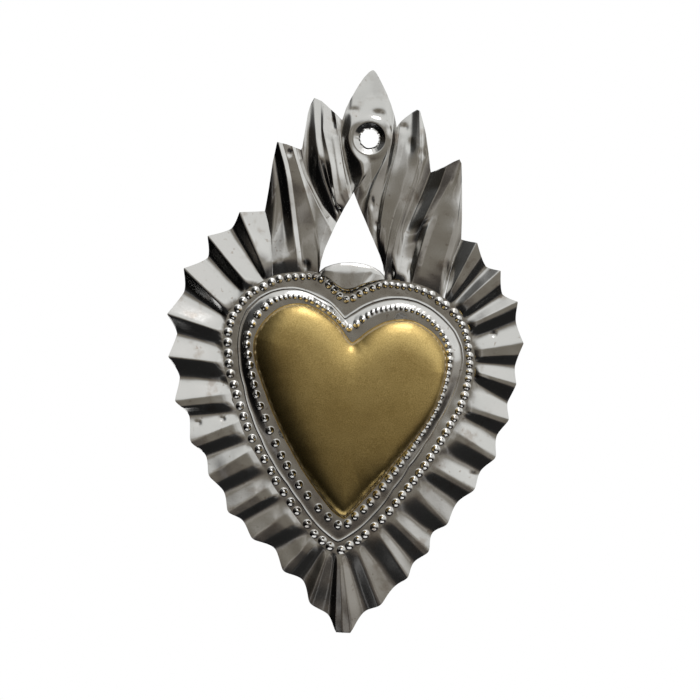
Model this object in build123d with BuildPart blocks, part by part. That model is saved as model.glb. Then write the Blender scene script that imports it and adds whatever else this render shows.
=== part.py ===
from build123d import *
from math import acos, atan2, degrees, hypot, sqrt
import os

# A pressed tin heart ornament, in millimetres. The origin is the centre of the hanging hole,
# +Z is up and the front faces -Y. A relief is how far a place stands out towards the front.

# Tin sheet, from the tip of the tallest flame to the foot
height = 127.0
sheet = 0.3
overrun = 2.5
deep = 20.0

# Rounding of the cut edge
tip_round = 0.4
cleft_round = 0.3
notch_round = 4.2
flame_round = 8.0
foot_round = 1.8

# Pleats of the border and folds of the flames
crest_rise = 1.3
valley_sink = 1.0
flame_rise = 1.2
# How far along a pleat its knee lies, and the share of the relief there
knee_share = 0.35
knee_rise_share = 0.75

# Brass heart: lobe centres, lobe and side arcs, and the tip below the lobe centres, as shares
# of the height
heart_drop_share = 0.3921
heart_shift_share = -0.013
lobe_radius_share = 0.0882
lobe_offset_share = 0.0827
side_radius_share = 0.5236
tip_drop_share = 0.2787
notch_radius = 0.4
brass = 0.25
flange_width = 0.55
dome_rise_share = 0.0472
dome_inset_share = 0.0756
# Each step of the dome: share of the inset, share of the rise
dome_shares = [(0, 0), (0.1, 0.46), (0.34, 0.8), (0.85, 1)]

# Worked band round the brass heart, as distances out from its rim in shares of the height
inner_bead_spread_share = 0.0106
step_spread_share = 0.0252
outer_bead_spread_share = 0.0457
pleat_spread_share = 0.0567
step_run = 0.55
field_rise = 0.9

# Beads as five-sided studs, measured to their flats
bead_radius = 0.75
bead_rise = 0.65
bead_slope = 32
bead_sides = 5
inner_bead_count = 60
outer_bead_count = 80

# Hanging hole: a dished seat struck from the front, with a short collar at the back
bore_radius = 2.2
bore_length = 1.2
dish_radius = 3.6
dish_depth = 1.0
lip_width = 0.35
lip_rise = 0.05
lip_fall = 0.6

# Pillow between the lobes, below the window, as shares of the height
pillow_width_share = 0.1228
pillow_crown_width_share = 0.0661
pillow_half_height_share = 0.0307
pillow_rise_share = 0.0126
pillow_drop_share = 0.2472
pillow_shift_share = -0.0181

# Solder under the brass flange
solder_film = 0.2
tack_radius = 1.6
tack_sides = 8
tack_spread = -1.5
tack_shares = [0.13, 0.3, 0.45, 0.57, 0.72, 0.89]

# Folds of the flames, left to right, as shares of the height: rim, bend and root of each fold
# line, whether its root lies on the heart, and the shares of flame_rise at its rim and bend
left_fold_shares = [
    ((-0.178, -0.137), (-0.164, -0.195), (-0.154, -0.262), True, -0.7, -0.7),
    ((-0.162, -0.016), (-0.133, -0.125), (-0.113, -0.256), True, 1.0, 1.0),
    ((-0.131, -0.022), (-0.092, -0.108), (-0.074, -0.254), True, 0.7, 0.8),
    ((-0.118, -0.026), (-0.084, -0.085), (-0.052, -0.175), False, -0.7, -0.8),
    ((-0.101, 0.067), (-0.070, -0.040), (-0.046, -0.152), False, 0.9, 1.0),
    ((-0.060, 0.037), (-0.044, -0.035), (-0.028, -0.112), False, 0.4, 0.8),
    ((-0.050, 0.030), (-0.031, -0.030), (-0.023, -0.106), False, -0.4, -0.3),
    ((0.000, 0.123), (-0.001, -0.020), (-0.019, -0.106), False, -0.6, 0.0),
]
right_fold_shares = [
    ((0.047, 0.023), (0.027, -0.135), (0.036, -0.250), True, -0.4, -0.3),
    ((0.082, 0.054), (0.074, -0.100), (0.051, -0.255), True, 0.7, 0.9),
    ((0.111, -0.054), (0.092, -0.125), (0.072, -0.258), True, -0.7, -0.8),
    ((0.162, -0.031), (0.118, -0.132), (0.091, -0.262), True, 0.9, 0.9),
    ((0.168, -0.112), (0.152, -0.165), (0.134, -0.268), True, 0.7, 0.8),
    ((0.171, -0.169), (0.155, -0.215), (0.140, -0.275), True, -0.7, -0.7),
]

# Pleats of the border from the crown down, as shares of the height: the rim and the root of
# each crest, then of the valley below it
left_pleat_shares = [
    ((-0.222, -0.142), (-0.175, -0.243)), ((-0.236, -0.172), (-0.183, -0.247)),
    ((-0.276, -0.187), (-0.211, -0.256)), ((-0.274, -0.225), (-0.213, -0.283)),
    ((-0.315, -0.246), (-0.233, -0.317)), ((-0.313, -0.288), (-0.237, -0.329)),
    ((-0.340, -0.328), (-0.246, -0.354)), ((-0.321, -0.362), (-0.247, -0.380)),
    ((-0.334, -0.403), (-0.244, -0.410)), ((-0.312, -0.438), (-0.228, -0.441)),
    ((-0.319, -0.481), (-0.228, -0.464)), ((-0.291, -0.505), (-0.219, -0.498)),
    ((-0.288, -0.552), (-0.215, -0.516)), ((-0.258, -0.573), (-0.197, -0.550)),
    ((-0.253, -0.609), (-0.186, -0.565)), ((-0.223, -0.635), (-0.156, -0.601)),
    ((-0.216, -0.672), (-0.146, -0.626)), ((-0.187, -0.684), (-0.135, -0.653)),
    ((-0.170, -0.717), (-0.118, -0.676)), ((-0.128, -0.730), (-0.080, -0.703)),
    ((-0.113, -0.771), (-0.074, -0.722)), ((-0.077, -0.782), (-0.050, -0.736)),
    ((-0.064, -0.824), (-0.041, -0.743)), ((-0.030, -0.840), (-0.028, -0.751)),
]
right_pleat_shares = [
    ((0.199, -0.174), (0.158, -0.262)), ((0.217, -0.215), (0.167, -0.275)),
    ((0.243, -0.221), (0.176, -0.286)), ((0.248, -0.262), (0.188, -0.307)),
    ((0.276, -0.274), (0.199, -0.316)), ((0.275, -0.311), (0.201, -0.343)),
    ((0.290, -0.347), (0.212, -0.363)), ((0.277, -0.388), (0.214, -0.385)),
    ((0.281, -0.419), (0.217, -0.402)), ((0.267, -0.452), (0.212, -0.420)),
    ((0.272, -0.483), (0.202, -0.466)), ((0.251, -0.511), (0.198, -0.486)),
    ((0.253, -0.551), (0.186, -0.514)), ((0.225, -0.576), (0.171, -0.554)),
    ((0.218, -0.610), (0.151, -0.579)), ((0.188, -0.632), (0.141, -0.604)),
    ((0.173, -0.674), (0.117, -0.616)), ((0.146, -0.688), (0.091, -0.652)),
    ((0.144, -0.723), (0.077, -0.667)), ((0.117, -0.741), (0.068, -0.690)),
    ((0.109, -0.771), (0.052, -0.694)), ((0.089, -0.783), (0.038, -0.730)),
    ((0.063, -0.822), (0.030, -0.738)), ((0.037, -0.831), (0.006, -0.750)),
]
foot_pleat_share = ((0.000, -0.877), (-0.013, -0.760))

# Cut edge of the flames from the left cleft to the right one, as shares of the height
flame_edge_shares = [
    ((-0.178, -0.137), cleft_round), ((-0.173, -0.099), flame_round), ((-0.162, -0.016), tip_round),
    ((-0.144, -0.019), flame_round), ((-0.118, -0.026), cleft_round), ((-0.111, 0.039), flame_round),
    ((-0.101, 0.067), tip_round), ((-0.078, 0.054), flame_round), ((-0.050, 0.030), cleft_round),
    ((-0.036, 0.070), flame_round), ((-0.016, 0.107), flame_round), ((0.000, 0.124), tip_round),
    ((0.014, 0.104), flame_round), ((0.035, 0.062), flame_round), ((0.047, 0.023), cleft_round),
    ((0.062, 0.040), flame_round), ((0.084, 0.055), tip_round), ((0.098, 0.016), flame_round),
    ((0.111, -0.054), cleft_round), ((0.134, -0.044), flame_round), ((0.162, -0.029), tip_round),
    ((0.168, -0.090), flame_round), ((0.171, -0.169), cleft_round),
]
foot_edge_shares = [((0.012, -0.873), foot_round), ((-0.014, -0.872), foot_round)]

# Window: its apex, its lower corners and the middle of each side, as shares of the height
window_apex_share = (-0.023, -0.096)
window_left_share = (-0.060, -0.176)
window_left_corner_share = (-0.076, -0.239)
window_sill_share = (-0.018, -0.220)
window_right_corner_share = (0.039, -0.241)
window_right_share = (0.015, -0.173)

# The hole's collar straddles the origin, so the front of the flat sheet lies this far forward
sheet_level = dish_depth + bore_length / 2
field_level = sheet_level + field_rise

heart_drop = heart_drop_share * height
heart_shift = heart_shift_share * height
lobe_radius = lobe_radius_share * height
lobe_offset = lobe_offset_share * height
side_radius = side_radius_share * height
tip_drop = tip_drop_share * height
dome_rise = dome_rise_share * height
dome_inset = dome_inset_share * height
inner_bead_spread = inner_bead_spread_share * height
step_spread = step_spread_share * height
outer_bead_spread = outer_bead_spread_share * height
pleat_spread = pleat_spread_share * height
pillow_width = pillow_width_share * height
pillow_crown_width = pillow_crown_width_share * height
pillow_half_height = pillow_half_height_share * height
pillow_rise = pillow_rise_share * height
pillow_drop = pillow_drop_share * height
pillow_shift = pillow_shift_share * height

# The side arcs are tangent to the lobes and meet at the tip
tip_reach = hypot(lobe_offset, tip_drop)
arc_gap = side_radius - lobe_radius
arc_along = (arc_gap**2 - side_radius**2 + tip_reach**2) / (2 * tip_reach)
arc_across = sqrt(arc_gap**2 - arc_along**2)
side_x = lobe_offset - (arc_along * lobe_offset + arc_across * tip_drop) / tip_reach
side_z = (arc_across * lobe_offset - arc_along * tip_drop) / tip_reach
join_angle = degrees(atan2(-side_z, lobe_offset - side_x))
notch_reach = lobe_radius + notch_radius
notch_angle = degrees(acos(-lobe_offset / notch_reach))


def heart_line(spread):
    """Draw the heart outline, spread out from the rim of the brass heart, in the open line."""
    lobe = lobe_radius + spread
    side = side_radius + spread
    top_angle = notch_angle if spread < notch_radius else degrees(acos(-lobe_offset / lobe))
    tip_angle = -degrees(acos(-side_x / side))
    lobe_sweep = top_angle - join_angle
    side_sweep = join_angle - tip_angle
    for x, z, radius, start, sweep in (
        (lobe_offset, 0, lobe, join_angle, lobe_sweep),
        (-lobe_offset, 0, lobe, 180 - top_angle, lobe_sweep),
        (-side_x, side_z, side, 180 - join_angle, side_sweep),
        (side_x, side_z, side, tip_angle, side_sweep),
    ):
        CenterArc((heart_shift + x, z - heart_drop), radius, start, sweep)
    if spread < notch_radius:
        notch_z = sqrt(notch_reach**2 - lobe_offset**2)
        centre = (heart_shift, notch_z - heart_drop)
        CenterArc(centre, notch_radius - spread, -notch_angle, 2 * notch_angle - 180)


def place(share, relief=0):
    """Point of the sheet's front from a pair of shares of the height and a relief."""
    return Vector(share[0] * height, -sheet_level - relief, share[1] * height)


with BuildLine(Plane.XZ) as pleat_line:
    heart_line(pleat_spread)


def on_heart(share):
    """Nearest point to a place on the line where the pleats start."""
    near = pleat_line.wires()[0].distance_to_with_closest_points(place(share))[1]
    return Vector(near.X, -sheet_level, near.Z)


def fold(rim, bend, root):
    """Stations of one fold line: its root, its bend and, past the cut edge, its end."""
    outward = Vector(rim.X - bend.X, 0, rim.Z - bend.Z).normalized() * overrun
    return [root, bend, rim + outward]


def flame_fold(rim, bend, root, to_heart, rim_rise, bend_rise):
    """Fold line of the crown."""
    foot = on_heart(root) if to_heart else place(root)
    return fold(place(rim, rim_rise * flame_rise), place(bend, bend_rise * flame_rise), foot)


def pleat_fold(shares, relief):
    """Fold line of the border, which bends at its knee."""
    rim, root = place(shares[0], relief), on_heart(shares[1])
    knee = root + (rim - root) * knee_share
    bend = Vector(knee.X, -sheet_level - relief * knee_rise_share, knee.Z)
    return fold(rim, bend, root)


def border_folds(pleat_shares):
    """Fold lines of one side of the border: crests and valleys in turn."""
    reliefs = [crest_rise, -valley_sink] * (len(pleat_shares) // 2)
    return [pleat_fold(shares, relief) for shares, relief in zip(pleat_shares, reliefs)]


foot_fold = pleat_fold(foot_pleat_share, crest_rise)
left_folds = [flame_fold(*row) for row in left_fold_shares]
right_folds = [flame_fold(*row) for row in right_fold_shares]
folds = [foot_fold] + border_folds(left_pleat_shares)[::-1] + left_folds
folds += right_folds + border_folds(right_pleat_shares)

# Cut edge of the whole sheet, corner by corner
edge = [(place(share), radius) for share, radius in flame_edge_shares]
for count, (rim, root) in enumerate(right_pleat_shares):
    edge.append((place(rim), notch_round if count % 2 else tip_round))
edge += [(place(share), radius) for share, radius in foot_edge_shares]
for count, (rim, root) in reversed(list(enumerate(left_pleat_shares))):
    edge.append((place(rim), notch_round if count % 2 else tip_round))

front = Plane.XZ.offset(sheet_level)
back = Plane.XZ.offset(-deep)

# Flat facets between neighbouring fold lines, two in each row. Both meet at the higher line's
# outer end, so that the panels swell between the valleys.
facets = []
for left_fold, right_fold in zip(folds, folds[1:] + folds[:1]):
    crest, valley = sorted([left_fold, right_fold], key=lambda stations: stations[1].Y)
    for row in range(len(crest) - 1):
        facets.append((crest[row], crest[row + 1], valley[row]))
        facets.append((crest[row + 1], valley[row + 1], valley[row]))

with BuildPart() as pleats:
    for corners in facets:
        start, along, across = corners[0], corners[1] - corners[0], corners[2] - corners[0]
        facet_plane = Plane(start, x_dir=along, z_dir=along.cross(across))
        reach = facet_plane.to_local_coords(corners[2])
        with BuildSketch(facet_plane):
            with BuildLine():
                Polyline((0, 0), (along.length, 0), (reach.X, reach.Y), close=True)
            make_face()
    extrude(amount=sheet, dir=(0, 1, 0))
    # Cut edge
    with BuildSketch(back):
        with BuildLine():
            FilletPolyline(
                *[(point.X, point.Z) for point, radius in edge],
                radius=[radius for point, radius in edge], close=True,
            )
        make_face()
    extrude(amount=2 * deep, mode=Mode.INTERSECT)

# Pillow: a barrel whose axis lies behind the sheet
pillow_bow = (pillow_half_height**2 + pillow_rise**2) / (2 * pillow_rise)
pillow_sink = pillow_bow - pillow_rise
pillow_centre = (pillow_shift, pillow_sink - sheet_level, -pillow_drop)
pillow_plane = Plane(pillow_centre, x_dir=(1, 0, 0), z_dir=(0, 0, -1))
pillow_end = pillow_width / 2
pillow_crown = pillow_crown_width / 2
window = [
    (share[0] * height, share[1] * height)
    for share in (
        window_apex_share, window_left_share, window_left_corner_share,
        window_sill_share, window_right_corner_share, window_right_share,
    )
]
apex, left_side, left_corner, sill, right_corner, right_side = window


def barrel(wall, reach):
    """The pillow less a wall, reaching this far back from the sheet's front, under the sill."""
    with BuildPart() as body:
        with BuildSketch(pillow_plane):
            with BuildLine():
                end, crown = pillow_end - wall, pillow_crown - wall
                Polyline(
                    (-end, pillow_sink - wall), (-crown, pillow_bow - wall),
                    (crown, pillow_bow - wall), (end, pillow_sink - wall), (end, 0), (-end, 0),
                    close=True,
                )
            make_face()
        revolve(axis=Axis(pillow_centre, (1, 0, 0)))
        with BuildSketch(front.offset(-reach)):
            with BuildLine():
                ThreePointArc(left_corner, sill, right_corner)
                Polyline(
                    right_corner, (right_corner[0], -heart_drop),
                    (left_corner[0], -heart_drop), left_corner,
                )
            make_face()
            with BuildLine():
                heart_line(pleat_spread)
            make_face(mode=Mode.SUBTRACT)
        extrude(amount=reach + deep, mode=Mode.INTERSECT)
    return body.part


pillow, pillow_hollow = barrel(0, sheet), barrel(sheet, deep)

# The step's wall measured level with the sheet, and how far its slope drifts through the sheet
step_wall = sheet * hypot(step_run, field_rise) / field_rise
step_drift = step_run * sheet / field_rise

with BuildPart() as bead:
    with BuildSketch(Plane.XZ):
        RegularPolygon(bead_radius, bead_sides, major_radius=False)
    extrude(amount=bead_rise)
    draft(faces().filter_by(Axis.Y, reverse=True), Plane.XZ, bead_slope)

with BuildPart() as band:
    # Flat sheet out to the roots of the folds
    with BuildSketch(front):
        with BuildLine():
            Polyline(*[(stations[0].X, stations[0].Z) for stations in folds], close=True)
        make_face()
    extrude(amount=-sheet)
    # Raised field inside the step
    for sink, inset, fate in ((0, 0, Mode.ADD), (sheet, step_wall - step_drift, Mode.SUBTRACT)):
        for relief, spread in ((0, step_spread), (field_rise, step_spread - step_run)):
            with BuildSketch(front.offset(relief - sink)):
                with BuildLine():
                    heart_line(spread - inset)
                make_face()
        loft(ruled=True, mode=fate)
    # Each row of beads starts at the tip of the heart
    for relief, spread, count in (
        (0, outer_bead_spread, outer_bead_count), (field_rise, inner_bead_spread, inner_bead_count),
    ):
        with BuildLine(Plane.XZ, mode=Mode.PRIVATE) as row_line:
            heart_line(spread)
        row = row_line.wires()[0]
        tip = row.param_at_point(row.vertices().sort_by(Axis.Z)[0])
        places = [row @ ((tip + number / count) % 1) for number in range(count)]
        with Locations(*[(spot.X, -sheet_level - relief, spot.Z) for spot in places]):
            add(bead.part)

with BuildPart() as tin_sheet:
    add(pleats.part)
    add(band.part)
    # Window, and room for the seat of the hole
    with BuildSketch(back):
        with BuildLine():
            ThreePointArc(apex, left_side, left_corner)
            ThreePointArc(left_corner, sill, right_corner)
            ThreePointArc(right_corner, right_side, apex)
        make_face()
        Circle(dish_radius + lip_width / 2)
    extrude(amount=2 * deep, mode=Mode.SUBTRACT)
    add(pillow)
    add(pillow_hollow, mode=Mode.SUBTRACT)
    # Dished seat and collar of the hanging hole
    with BuildSketch(Plane.XY):
        with BuildLine():
            Polyline(
                (dish_radius + lip_width, -sheet_level - lip_rise),
                (dish_radius, -sheet_level - lip_rise),
                (bore_radius, -bore_length / 2), (bore_radius, bore_length / 2),
                (bore_radius + sheet, bore_length / 2),
                (bore_radius + sheet, sheet - bore_length / 2),
                (dish_radius + lip_width, lip_fall - sheet_level), close=True,
            )
        make_face()
    revolve(axis=Axis.Y)

seat = Plane.XZ.offset(field_level + solder_film)

with BuildPart() as brass_heart:
    with BuildSketch(seat):
        with BuildLine():
            heart_line(0)
        make_face()
    extrude(amount=brass)
    for wall, fate in ((0, Mode.ADD), (brass, Mode.SUBTRACT)):
        for inset_share, rise_share in dome_shares:
            with BuildSketch(seat.offset(rise_share * dome_rise - wall)):
                with BuildLine():
                    heart_line(-flange_width - inset_share * dome_inset - wall)
                make_face()
        loft(ruled=True, mode=fate)

with BuildLine() as tack_line:
    heart_line(tack_spread)

with BuildPart() as solder_tacks:
    with BuildSketch(Plane.XZ.offset(field_level)):
        with Locations(*[tack_line.wires()[0] @ share for share in tack_shares]):
            RegularPolygon(tack_radius, tack_sides)
    extrude(amount=solder_film)

tin_sheet.part.label = "tin_sheet"
brass_heart.part.label = "brass_heart"
solder_tacks.part.label = "solder_tacks"

os.makedirs("parts", exist_ok=True)
export_step(tin_sheet.part, "parts/tin_sheet.step")
export_step(brass_heart.part, "parts/brass_heart.step")
export_step(solder_tacks.part, "parts/solder_tacks.step")
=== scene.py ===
"""Looks of a pressed tin heart ornament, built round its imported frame."""

import logging
import math
from dataclasses import dataclass
from enum import Enum

import bmesh
import bpy
import numpy as np
from mathutils import Matrix, Vector

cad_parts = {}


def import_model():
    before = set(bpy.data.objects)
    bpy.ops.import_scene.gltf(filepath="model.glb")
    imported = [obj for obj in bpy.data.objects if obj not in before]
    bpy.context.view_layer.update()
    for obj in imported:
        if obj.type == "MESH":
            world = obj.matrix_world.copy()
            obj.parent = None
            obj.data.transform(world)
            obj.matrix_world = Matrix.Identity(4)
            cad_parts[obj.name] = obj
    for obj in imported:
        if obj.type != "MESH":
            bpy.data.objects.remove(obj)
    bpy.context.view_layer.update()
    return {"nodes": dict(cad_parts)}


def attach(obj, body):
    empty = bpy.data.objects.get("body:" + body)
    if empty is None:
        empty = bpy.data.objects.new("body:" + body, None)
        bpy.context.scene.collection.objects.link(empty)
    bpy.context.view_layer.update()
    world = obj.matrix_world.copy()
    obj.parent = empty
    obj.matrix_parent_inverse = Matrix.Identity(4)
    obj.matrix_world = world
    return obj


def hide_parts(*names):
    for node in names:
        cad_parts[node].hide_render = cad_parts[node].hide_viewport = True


LOG = logging.getLogger("tin_heart")

# Height in metres, and the thousandths of it that places are read in, from the hanging hole
HEIGHT = 0.127
MM = 0.001
SHARE = HEIGHT / 1000
SHARE_MM = SHARE / MM
SHEET = 0.3 * MM
SHEET_LEVEL = 1.6
FIELD_RISE = 0.9
CENTRE = (-14.0, -440.0)
RINGS = 1440
# Edges that turn by more than this, in radians, are shaded as sharp
SHARP_ANGLE = 1.25
BEAD_MARGIN = 9.5
# The sheet outside the ridge is higher by LIFT millimetres at the heart's tip
LIFT, LIFT_START, LIFT_SPAN = 0.8, -420, -150
# The CAD box across and up, in metres, which the sheet never leaves
REACH_ACROSS = (-0.0431, 0.0368)
REACH_UP = (-0.1108, 0.0155)

# How a point of the photograph becomes thousandths: hole, scale and lean of the ornament
HOLE_PIXEL = (369.5, 139)
PIXELS_TO_SHARE = 0.5656
LEAN_COSINE = 0.99863
LEAN_SINE = 0.05234
ENLARGEMENT = 5.2275
ENLARGED_CORNER = (225, 260)

Place = tuple[float, float]
Station = tuple[float, float, float]
Pleat = tuple[float, float, float, float]
Colour = tuple[float, float, float]
Socket = bpy.types.NodeSocket
Value = bpy.types.NodeSocket | tuple | float
Material = bpy.types.Material
Piece = bpy.types.Object
Mesh = bmesh.types.BMesh


class Slot(Enum):
    """Material slots of the record; the meshes made here do not use them."""

    TIN = "tin"
    BRASS = "brass"


# Lines round the brass heart, read as thousandths of the height from the hanging hole
RIDGE_LINE: list[Place] = [
    (-212, -361), (-209, -338), (-199, -311), (-180, -291), (-160, -279), (-140, -273),
    (-116, -271), (-96, -275), (-74, -284), (-54, -293), (-40, -306), (-27, -320),
    (-9, -306), (7, -295), (27, -286), (47, -280), (70, -278), (98, -282), (125, -294),
    (150, -313), (168, -332), (181, -357), (185, -381), (179, -415), (167, -452),
    (149, -490), (127, -530), (100, -572), (74, -614), (43, -660), (17, -688), (-19, -713),
    (-50, -691), (-86, -649), (-112, -616), (-141, -577), (-163, -538), (-182, -498),
    (-198, -448), (-210, -395),
]
OUTER_BEADS: list[Place] = [
    (-228, -338), (-224, -325), (-216, -312), (-208, -298), (-198, -287), (-187, -278),
    (-173, -271), (-159, -262), (-146, -256), (-131, -253), (-118, -251), (-105, -250),
    (-94, -249), (-84, -249), (-72, -252), (-58, -261), (-48, -271), (-38, -281),
    (-26, -286), (-14, -283), (-3, -275), (7, -269), (19, -264), (30, -259), (41, -256),
    (52, -256), (63, -257), (74, -258), (86, -259), (98, -261), (110, -265), (123, -270),
    (137, -280), (149, -287), (164, -299), (173, -310), (180, -320), (186, -333),
    (190, -345), (193, -359), (196, -374), (197, -388), (197, -402), (196, -414),
    (194, -428), (191, -444), (186, -459), (182, -472), (175, -485), (168, -497),
    (161, -511), (153, -526), (145, -541), (136, -556), (127, -571), (118, -584),
    (109, -598), (100, -611), (90, -625), (80, -639), (69, -654), (57, -669), (44, -683),
    (29, -697), (16, -708), (2, -718), (-12, -727), (-32, -721), (-46, -712), (-61, -701),
    (-74, -684), (-93, -662), (-105, -647), (-118, -630), (-133, -611), (-142, -594),
    (-155, -574), (-166, -557), (-179, -539), (-188, -519), (-196, -501), (-203, -483),
    (-210, -463), (-216, -446), (-223, -427), (-227, -409), (-229, -391), (-231, -372),
    (-231, -354),
]
INNER_BEADS: list[Place] = [
    (-197, -357), (-190, -337), (-181, -320), (-169, -306), (-160, -297), (-150, -292),
    (-142, -289), (-134, -287), (-126, -285), (-117, -285), (-107, -285), (-96, -288),
    (-85, -291), (-74, -297), (-64, -303), (-54, -309), (-45, -315), (-36, -323),
    (-27, -330), (-18, -336), (-6, -328), (4, -319), (13, -312), (21, -306), (29, -302),
    (38, -300), (46, -298), (54, -296), (63, -295), (72, -295), (81, -296), (92, -298),
    (102, -301), (112, -306), (121, -312), (130, -319), (138, -327), (146, -336),
    (152, -346), (157, -357), (160, -369), (161, -382), (160, -395), (158, -408),
    (156, -420), (153, -433), (149, -446), (145, -459), (140, -472), (134, -485),
    (127, -498), (119, -512), (111, -526), (103, -540), (94, -554), (84, -569), (75, -583),
    (65, -597), (55, -612), (45, -626), (35, -640), (24, -653), (9, -666), (-3, -680),
    (-20, -683), (-38, -670), (-56, -655), (-76, -634), (-92, -616), (-105, -598),
    (-115, -583), (-126, -566), (-137, -545), (-148, -523), (-158, -502), (-168, -481),
    (-176, -461), (-181, -444), (-186, -428), (-190, -410), (-194, -392), (-198, -374),
]
# Least and greatest radius of a bead in each row, in millimetres
OUTER_RADII = (0.52, 0.98)
INNER_RADII = (0.42, 0.92)

# Brass heart's edge, clockwise from the notch, read on an enlargement of the photograph
BRASS_EDGE: list[Place] = [
    (665, 432), (700, 408), (740, 375), (780, 350), (830, 325), (880, 313), (930, 310),
    (985, 318), (1030, 340), (1075, 370), (1110, 405), (1140, 450), (1158, 495), (1161, 540),
    (1157, 590), (1148, 640), (1135, 690), (1115, 745), (1090, 800), (1060, 850), (1020, 905),
    (980, 955), (930, 1015), (880, 1075), (830, 1135), (780, 1190), (730, 1245), (690, 1290),
    (650, 1330), (625, 1354), (590, 1335), (560, 1310), (535, 1280), (500, 1235), (460, 1180),
    (420, 1120), (380, 1055), (340, 983), (300, 905), (265, 830), (235, 760), (210, 690),
    (185, 620), (165, 560), (152, 500), (149, 450), (155, 405), (170, 370), (195, 330),
    (225, 295), (265, 262), (300, 243), (345, 230), (390, 227), (430, 232), (470, 249),
    (510, 270), (550, 300), (585, 330), (610, 360), (635, 397), (652, 420),
]

# Small dents of the punch and of wear: across, up, half width, half height, depth in millimetres
DENTS: list[tuple[float, float, float, float, float]] = [
    (13, 43, 12, 8, 0.3), (34, 14, 4, 8, 0.3), (-65, 23, 5, 9, 0.25), (-139, -34, 5, 6, 0.22),
    (72, -8, 6, 11, 0.22), (11, -114, 3, 9, 0.2), (19, -152, 3, 6, 0.16), (83, -235, 5, 15, 0.35),
    (150, -237, 6, 22, 0.35), (-48, -128, 6, 6, 0.2), (-100, -230, 6, 8, 0.25),
    (52, -236, 6, 9, 0.3),
    (-276, -517, 6, 4, 0.2), (-233, -508, 5, 4, 0.2), (237, -334, 6, 4, 0.2),
    (212, -583, 6, 5, 0.2),
    (-29, 47, 10, 6, 0.2), (60, 22, 7, 6, 0.2), (94, -22, 5, 8, 0.16),
]

# Pleats of the border, each crest and then the valley below it: rim, then root
LEFT_PLEATS: list[Pleat] = [
    (-222, -142, -175, -243), (-236, -172, -183, -247),
    (-276, -187, -211, -256), (-274, -225, -213, -283),
    (-315, -246, -233, -317), (-313, -288, -237, -329),
    (-340, -328, -246, -354), (-321, -362, -247, -380),
    (-334, -403, -244, -410), (-312, -438, -228, -441),
    (-319, -481, -228, -464), (-291, -505, -219, -498),
    (-288, -552, -215, -516), (-258, -573, -197, -550),
    (-253, -609, -186, -565), (-223, -635, -156, -601),
    (-216, -672, -146, -626), (-187, -684, -135, -653),
    (-170, -717, -118, -676), (-128, -730, -80, -703),
    (-113, -771, -74, -722), (-77, -782, -50, -736),
    (-64, -824, -41, -743), (-30, -840, -28, -751),
]
RIGHT_PLEATS: list[Pleat] = [
    (199, -174, 158, -262), (217, -215, 167, -275), (243, -221, 176, -286), (248, -262, 188, -307),
    (276, -274, 199, -316), (275, -311, 201, -343), (290, -347, 212, -363), (277, -388, 214, -385),
    (281, -419, 217, -402), (267, -452, 212, -420), (272, -483, 202, -466), (251, -511, 198, -486),
    (253, -551, 186, -514), (225, -576, 171, -554), (218, -610, 151, -579), (188, -632, 141, -604),
    (173, -674, 117, -616), (146, -688, 91, -652), (144, -723, 77, -667), (117, -741, 68, -690),
    (109, -771, 52, -694), (89, -783, 38, -730), (63, -822, 30, -738), (37, -831, 6, -750),
]
FOOT_CRESTS: list[Pleat] = [
    (-15, -872, -20, -756), (-1, -888, -13, -760), (13, -872, -6, -756),
]
FOOT_RELIEFS = (0.35, 0.45, 0.35)
# How a pleat rises from its root: share of its length, and share of its relief there
PLEAT_RISE = ((0.12, 0.5), (0.35, 0.82), (0.7, 0.97))

# For each pair of a crest and a valley: their reliefs, and how far the flat below the crest goes
LEFT_TEMPERS: list[tuple[float, float, float]] = [
    (1.1, -0.9, 0.0), (1.25, -0.9, 0.0), (1.2, -0.9, 0.0), (1.2, -0.6, 0.0), (1.1, -0.6, 0.0),
    (1.0, -0.2, 0.4), (0.9, -0.1, 0.4), (0.8, 0.1, 0.5), (0.8, 0.1, 0.5), (0.7, 0.0, 0.45),
    (0.5, -0.1, 0.35), (0.4, -0.2, 0.1),
]
RIGHT_TEMPERS: list[tuple[float, float, float]] = [
    (0.9, -0.1, 0.55), (1.0, -0.1, 0.55), (1.0, -0.3, 0.25), (0.8, 0.1, 0.5), (1.0, -0.4, 0.2),
    (0.75, -0.2, 0.25), (0.6, -0.3, 0.2), (0.5, -0.2, 0.25), (0.42, -0.18, 0.15),
    (0.35, -0.1, 0.3), (0.35, -0.2, 0.0), (0.3, -0.2, 0.1),
]

# Cut edge of the flames from the left cleft to the right one
FLAME_EDGE: list[Place] = [
    (-178, -137), (-173, -99), (-168, -50), (-162, -16), (-144, -19), (-131, -23), (-118, -27),
    (-111, 39), (-107, 55), (-101, 67), (-88, 62), (-78, 54), (-64, 42), (-50, 30), (-44, 52),
    (-36, 70), (-26, 90), (-16, 107), (-7, 118), (0, 123), (6, 117), (14, 104), (25, 84),
    (35, 62), (42, 42), (47, 23), (54, 33), (62, 41), (73, 50), (81, 55), (86, 53), (90, 42),
    (98, 16), (105, -20), (111, -54), (121, -50), (134, -44), (150, -34), (160, -29), (164, -36),
    (166, -60), (168, -90), (170, -130), (171, -169),
]
WINDOW_LEFT: list[Place] = [
    (-76, -239), (-74, -221), (-69, -200), (-60, -176), (-50, -151), (-39, -127), (-23, -96),
]
WINDOW_RIGHT: list[Place] = [
    (-23, -96), (-10, -125), (0, -145), (9, -164), (19, -184), (29, -205), (35, -221), (39, -241),
]
SILL: list[Place] = [
    (-76, -239), (-67, -231), (-55, -226), (-40, -222), (-18, -220), (4, -222), (20, -227),
    (31, -233), (39, -241),
]


@dataclass
class Crease:
    """One fold line of the sheet, from its foot to the cut edge.

    Stations hold thousandths across, thousandths up and a relief in millimetres.
    """

    stations: list[Station]
    rounding: float = 0.16
    ledge_after: float = 0.0
    ledge_before: float = 0.0


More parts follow.
